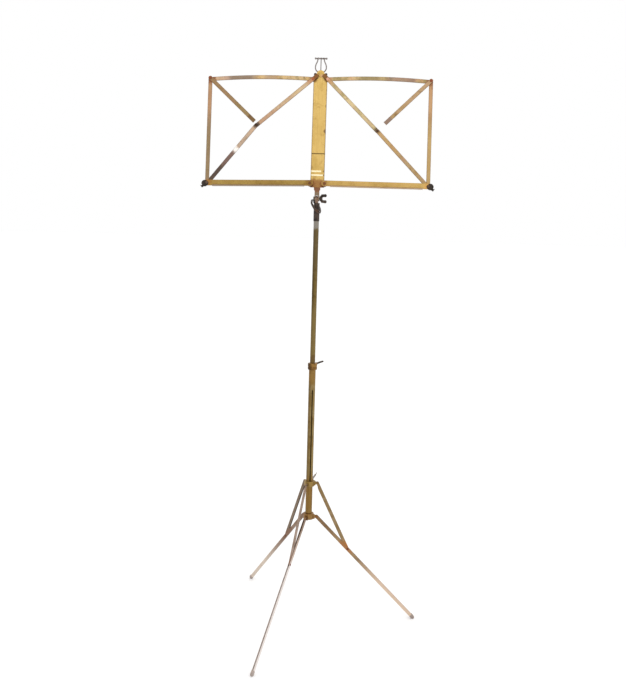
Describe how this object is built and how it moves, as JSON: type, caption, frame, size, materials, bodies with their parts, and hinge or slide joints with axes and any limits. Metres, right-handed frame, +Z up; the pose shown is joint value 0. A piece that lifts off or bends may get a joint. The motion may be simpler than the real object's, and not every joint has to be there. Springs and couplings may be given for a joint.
{
  "type": "folding music stand",
  "caption": "Folding brass music stand: tripod with a sliding collar, telescopic mast and a tilting desk with two folding wings and a lyre on top.",
  "frame": {"origin": "on the floor, on the pole's axis", "axes": "+Z up along the pole; the desk faces -Y; +X to the reader's right"},
  "size_m": [0.472, 0.4177, 1.1902],
  "materials": {
    "tube_brass": "aged, satin",
    "plate_brass": "aged, satin",
    "fork_brass": "worn, satin",
    "leg_brass": "aged, satin",
    "bar_brass": "worn, satin",
    "rivet_brass": "tarnished to copper brown",
    "dark_steel": "blackened",
    "grey_steel": "dull grey"
  },
  "bodies": {
    "base": {"outer_tube": "tube_brass", "clamp_collar": "tube_brass", "lower_hub": "tube_brass", "hub_pins": "rivet_brass"},
    "clamp_screw": {"clamp_screw": "dark_steel"},
    "mast": {"mast_tube": "tube_brass", "mast_bush": "tube_brass", "mast_ferrule": "dark_steel", "mast_head": "tube_brass", "tilt_bolt": "dark_steel", "wire_tie": "dark_steel"},
    "wing_nut": {"wing_nut": "dark_steel"},
    "collar": {"upper_collar": "tube_brass", "collar_key": "tube_brass", "collar_pins": "rivet_brass"},
    "collar_screw": {"collar_screw": "dark_steel"},
    "right_leg": {"right_leg": "leg_brass", "right_foot_tip": "dark_steel", "right_knee_pin": "rivet_brass"},
    "right_strut": {"right_strut": "leg_brass"},
    "front_leg": {"front_leg": "leg_brass", "front_foot_tip": "dark_steel", "front_knee_pin": "rivet_brass"},
    "front_strut": {"front_strut": "leg_brass"},
    "back_leg": {"back_leg": "leg_brass", "back_foot_tip": "dark_steel", "back_knee_pin": "rivet_brass"},
    "back_strut": {"back_strut": "leg_brass"},
    "desk": {"desk_fork": "fork_brass", "plate_foot": "plate_brass", "centre_plate": "plate_brass", "plate_rivets": "rivet_brass", "crest_boss": "plate_brass", "lyre": "grey_steel", "lyre_saddle": "dark_steel", "top_pivots": "rivet_brass", "ledge_pivots": "rivet_brass"},
    "right_ledge": {"right_ledge_bar": "plate_brass", "right_low_corner_rivet": "rivet_brass"},
    "right_top": {"right_top_bar": "bar_brass"},
    "right_side": {"right_side_bar": "bar_brass", "right_top_corner_rivet": "rivet_brass"},
    "right_upper_link": {"right_upper_brace": "bar_brass", "right_elbow_rivet_back": "rivet_brass"},
    "right_lower_link": {"right_lower_brace": "bar_brass", "right_elbow_rivet_front": "rivet_brass"},
    "right_arm": {"right_page_arm": "bar_brass"},
    "right_stop": {"right_page_stop": "dark_steel"},
    "left_ledge": {"left_ledge_bar": "plate_brass", "left_low_corner_rivet": "rivet_brass"},
    "left_top": {"left_top_bar": "bar_brass"},
    "left_side": {"left_side_bar": "bar_brass", "left_top_corner_rivet": "rivet_brass"},
    "left_upper_link": {"left_upper_brace": "bar_brass", "left_elbow_rivet_back": "rivet_brass"},
    "left_lower_link": {"left_lower_brace": "bar_brass", "left_elbow_rivet_front": "rivet_brass"},
    "left_arm": {"left_page_arm": "bar_brass"},
    "left_stop": {"left_page_stop": "dark_steel"}
  },
  "joints": [
    {"name": "mast_slide", "type": "slide", "parent": "base", "child": "mast", "axis": [0, 0, 1], "range_m": [-0.288, 0.022]},
    {"name": "desk_tilt", "type": "hinge", "parent": "mast", "child": "desk", "pos_m": [0, 0, 0.911], "axis": [-1, 0, 0], "range_deg": [-10, 60]},
    {"name": "wing_nut_turn", "type": "hinge", "parent": "mast", "child": "wing_nut", "pos_m": [0, 0, 0.911], "axis": [1, 0, 0], "range_deg": [0, 540]},
    {"name": "clamp_screw_turn", "type": "hinge", "parent": "base", "child": "clamp_screw", "pos_m": [0.01246, 0.01539, 0.57318], "axis": [0.6232, 0.7696, 0.1392], "range_deg": [0, 540]},
    {"name": "collar_screw_turn", "type": "hinge", "parent": "collar", "child": "collar_screw", "pos_m": [0.00899, 0.01557, 0.32379], "axis": [0.4494, 0.7784, 0.4384], "range_deg": [0, 540]},
    {"name": "right_leg_fold", "type": "hinge", "parent": "base", "child": "right_leg", "pos_m": [0.01738, 0.00204, 0.24], "axis": [0.1167, -0.9932, 0], "range_deg": [0, 137]},
    {"name": "right_strut_fold", "type": "hinge", "parent": "right_leg", "child": "right_strut", "pos_m": [0.08647, 0.01016, 0.1654], "axis": [0.1167, -0.9932, 0], "range_deg": [-161.95, 0]},
    {"name": "front_leg_fold", "type": "hinge", "parent": "base", "child": "front_leg", "pos_m": [-0.00692, -0.01607, 0.24], "axis": [-0.9184, 0.3955, 0], "range_deg": [0, 137]},
    {"name": "front_strut_fold", "type": "hinge", "parent": "front_leg", "child": "front_strut", "pos_m": [-0.03444, -0.07996, 0.1654], "axis": [-0.9184, 0.3955, 0], "range_deg": [-161.95, 0]},
    {"name": "back_leg_fold", "type": "hinge", "parent": "base", "child": "back_leg", "pos_m": [-0.01046, 0.01403, 0.24], "axis": [0.8018, 0.5976, 0], "range_deg": [0, 137]},
    {"name": "back_strut_fold", "type": "hinge", "parent": "back_leg", "child": "back_strut", "pos_m": [-0.05203, 0.06981, 0.1654], "axis": [0.8018, 0.5976, 0], "range_deg": [-161.95, 0]},
    {"name": "collar_slide", "type": "slide", "parent": "base", "child": "collar", "axis": [0, 0, 1], "range_m": [0, 0.19199]},
    {"name": "right_wing_fold", "type": "hinge", "parent": "desk", "child": "right_ledge", "pos_m": [0.0145, -0.00632, 0.93852], "axis": [0, -0.9848, 0.1736], "range_deg": [0, 90.3]},
    {"name": "right_top_bar_fold", "type": "hinge", "parent": "desk", "child": "right_top", "pos_m": [0.0145, 0.03032, 1.14631], "axis": [0, -0.9848, 0.1736], "range_deg": [0, 90.3]},
    {"name": "right_side_bar_swing", "type": "hinge", "parent": "right_ledge", "child": "right_side", "pos_m": [0.22, -0.0065, 0.93746], "axis": [0, -0.9848, 0.1736], "range_deg": [-90.3, 0]},
    {"name": "right_upper_brace_fold", "type": "hinge", "parent": "desk", "child": "right_upper_link", "pos_m": [0.0145, 0.03032, 1.14631], "axis": [0, -0.9848, 0.1736], "range_deg": [0, 135.2]},
    {"name": "right_lower_brace_fold", "type": "hinge", "parent": "right_ledge", "child": "right_lower_link", "pos_m": [0.22, -0.0065, 0.93746], "axis": [0, -0.9848, 0.1736], "range_deg": [-133.72, 0]},
    {"name": "right_arm_swing", "type": "hinge", "parent": "right_side", "child": "right_arm", "pos_m": [0.22, 0.03013, 1.14525], "axis": [0, -0.9848, 0.1736], "range_deg": [-135, 45]},
    {"name": "right_stop_swing", "type": "hinge", "parent": "right_ledge", "child": "right_stop", "pos_m": [0.22, -0.0065, 0.93746], "axis": [0, -0.9848, 0.1736], "range_deg": [0, 110]},
    {"name": "left_wing_fold", "type": "hinge", "parent": "desk", "child": "left_ledge", "pos_m": [-0.0145, -0.00632, 0.93852], "axis": [0, 0.9848, -0.1736], "range_deg": [0, 91.2]},
    {"name": "left_top_bar_fold", "type": "hinge", "parent": "desk", "child": "left_top", "pos_m": [-0.0145, 0.03032, 1.14631], "axis": [0, 0.9848, -0.1736], "range_deg": [0, 91.2]},
    {"name": "left_side_bar_swing", "type": "hinge", "parent": "left_ledge", "child": "left_side", "pos_m": [-0.21995, -0.00707, 0.93428], "axis": [0, 0.9848, -0.1736], "range_deg": [-91.2, 0]},
    {"name": "left_upper_brace_fold", "type": "hinge", "parent": "desk", "child": "left_upper_link", "pos_m": [-0.0145, 0.03032, 1.14631], "axis": [0, 0.9848, -0.1736], "range_deg": [0, 130.95]},
    {"name": "left_lower_brace_fold", "type": "hinge", "parent": "left_ledge", "child": "left_lower_link", "pos_m": [-0.21995, -0.00707, 0.93428], "axis": [0, 0.9848, -0.1736], "range_deg": [-129.67, 0]},
    {"name": "left_arm_swing", "type": "hinge", "parent": "left_side", "child": "left_arm", "pos_m": [-0.21995, 0.02957, 1.14207], "axis": [0, 0.9848, -0.1736], "range_deg": [-135, 45]},
    {"name": "left_stop_swing", "type": "hinge", "parent": "left_ledge", "child": "left_stop", "pos_m": [-0.21995, -0.00707, 0.93428], "axis": [0, 0.9848, -0.1736], "range_deg": [0, 110]}
  ],
  "couplings": [
    {"joint": "right_strut_fold", "follows": "right_leg_fold", "ratio": -1.182},
    {"joint": "front_leg_fold", "follows": "right_leg_fold", "ratio": 1},
    {"joint": "front_strut_fold", "follows": "right_leg_fold", "ratio": -1.182},
    {"joint": "back_leg_fold", "follows": "right_leg_fold", "ratio": 1},
    {"joint": "back_strut_fold", "follows": "right_leg_fold", "ratio": -1.182},
    {"joint": "collar_slide", "follows": "right_leg_fold", "m_per_rad": 0.080289},
    {"joint": "right_top_bar_fold", "follows": "right_wing_fold", "ratio": 1},
    {"joint": "right_side_bar_swing", "follows": "right_wing_fold", "ratio": -1},
    {"joint": "right_upper_brace_fold", "follows": "right_wing_fold", "ratio": 1.4971},
    {"joint": "right_lower_brace_fold", "follows": "right_wing_fold", "ratio": -1.4808},
    {"joint": "left_top_bar_fold", "follows": "left_wing_fold", "ratio": 1},
    {"joint": "left_side_bar_swing", "follows": "left_wing_fold", "ratio": -1},
    {"joint": "left_upper_brace_fold", "follows": "left_wing_fold", "ratio": 1.4358},
    {"joint": "left_lower_brace_fold", "follows": "left_wing_fold", "ratio": -1.4217}
  ]
}
